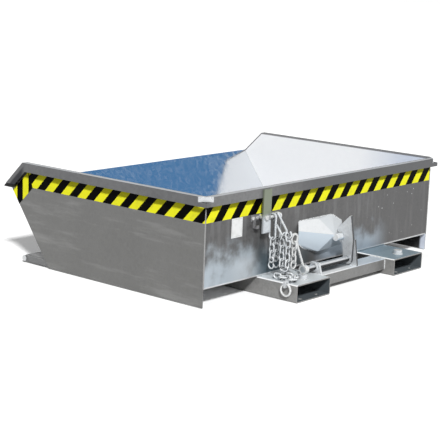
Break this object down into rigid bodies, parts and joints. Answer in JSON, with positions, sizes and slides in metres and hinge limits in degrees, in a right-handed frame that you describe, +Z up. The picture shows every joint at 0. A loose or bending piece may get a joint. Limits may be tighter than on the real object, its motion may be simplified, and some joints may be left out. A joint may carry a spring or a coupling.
{
  "type": "tipping hopper",
  "caption": "Low forklift tipping hopper: galvanised tub with sloping pour lip, hinged at the front of a base with fork pockets and held by a rear latch hook with pull chain.",
  "frame": {"origin": "centre of the footprint on the ground, midway along the length and width of the whole hopper", "axes": "+X towards the pour lip, +Y towards the left side as seen from the truck behind it, +Z up"},
  "size_m": [1.365, 1.688, 0.452],
  "materials": {
    "zinc": "hot-dip galvanised, mottled",
    "plated": "bright zinc plated",
    "steel": "bare turned steel",
    "tape": "printed film, diagonal yellow and black stripes",
    "plug": "black moulded plastic",
    "label": "plain white film"
  },
  "bodies": {
    "base": {"fork_pocket_left": "zinc", "fork_pocket_right": "zinc", "rear_crossbar": "zinc", "front_beam": "zinc", "pivot_tube": "zinc", "latch_cheek_far": "zinc", "latch_cheek_near": "zinc", "fork_clamp_bosses": "zinc", "anchor_eye": "zinc", "slack_chain_links": "plated"},
    "tub": {"tub_wrap_sheet": "zinc", "tub_side_panel_left": "zinc", "tub_side_panel_right": "zinc", "rim_left": "zinc", "rim_right": "zinc", "rim_back": "zinc", "rim_corner_plates": "zinc", "rim_end_plugs": "plug", "hazard_tape_left": "tape", "hazard_tape_right": "tape", "hazard_tape_back": "tape", "hinge_arm_left": "zinc", "hinge_arm_right": "zinc", "pivot_pin_left": "steel", "pivot_pin_right": "steel", "latch_hood": "zinc", "lock_pin": "zinc", "hanger_bar": "zinc", "hanger_spacer": "zinc", "hanger_bolt": "plated", "hanger_nut": "plated", "chain_peg": "zinc", "blank_tag": "label", "blank_plate": "label", "parking_hook": "zinc", "parking_hook_bolts": "plated"},
    "latch": {"latch_shaft": "steel", "latch_hook": "zinc", "release_lever": "zinc", "shaft_collars": "zinc"},
    "pull_chain": {"pull_chain_links": "plated", "pull_grip_ring": "plated"},
    "chain": {"chain_top_link": "plated", "chain_links": "plated", "chain_hook": "plated"},
    "second_chain": {"second_chain_top_link": "plated", "second_chain_links": "plated", "second_chain_hook": "plated"},
    "anchor_ring": {"anchor_ring": "plated"},
    "clamp_left": {"fork_clamp_screw_left": "plated"},
    "clamp_right": {"fork_clamp_screw_right": "plated"}
  },
  "joints": [
    {"name": "tub_tip", "type": "hinge", "parent": "base", "child": "tub", "pos_m": [0.5655, 0, 0.021], "axis": [0, 1, 0], "range_deg": [0, 80]},
    {"name": "latch_release", "type": "hinge", "parent": "base", "child": "latch", "pos_m": [-0.5875, 0, 0.098], "axis": [0, -1, 0], "range_deg": [0, 25]},
    {"name": "pull_chain_hang", "type": "hinge", "parent": "latch", "child": "pull_chain", "pos_m": [-0.5775, 0.364, 0.216], "axis": [0, -1, 0], "range_deg": [-26, 1]},
    {"name": "chain_swing", "type": "hinge", "parent": "tub", "child": "chain", "pos_m": [-0.5205, 0.438, 0.331], "axis": [0, 1, 0], "range_deg": [-4, 40]},
    {"name": "second_chain_swing", "type": "hinge", "parent": "tub", "child": "second_chain", "pos_m": [-0.5205, 0.4075, 0.331], "axis": [0, 1, 0], "range_deg": [-4, 40]},
    {"name": "anchor_ring_swing", "type": "hinge", "parent": "base", "child": "anchor_ring", "pos_m": [-0.6345, 0.482, 0.0742], "axis": [1, 0, 0], "range_deg": [0, 80]},
    {"name": "fork_clamp_left", "type": "slide", "parent": "base", "child": "clamp_left", "axis": [0, 0, -1], "range_m": [0, 0.012]},
    {"name": "fork_clamp_right", "type": "slide", "parent": "base", "child": "clamp_right", "axis": [0, 0, -1], "range_m": [0, 0.012]}
  ],
  "couplings": [
    {"joint": "pull_chain_hang", "follows": "latch_release", "ratio": -1}
  ]
}
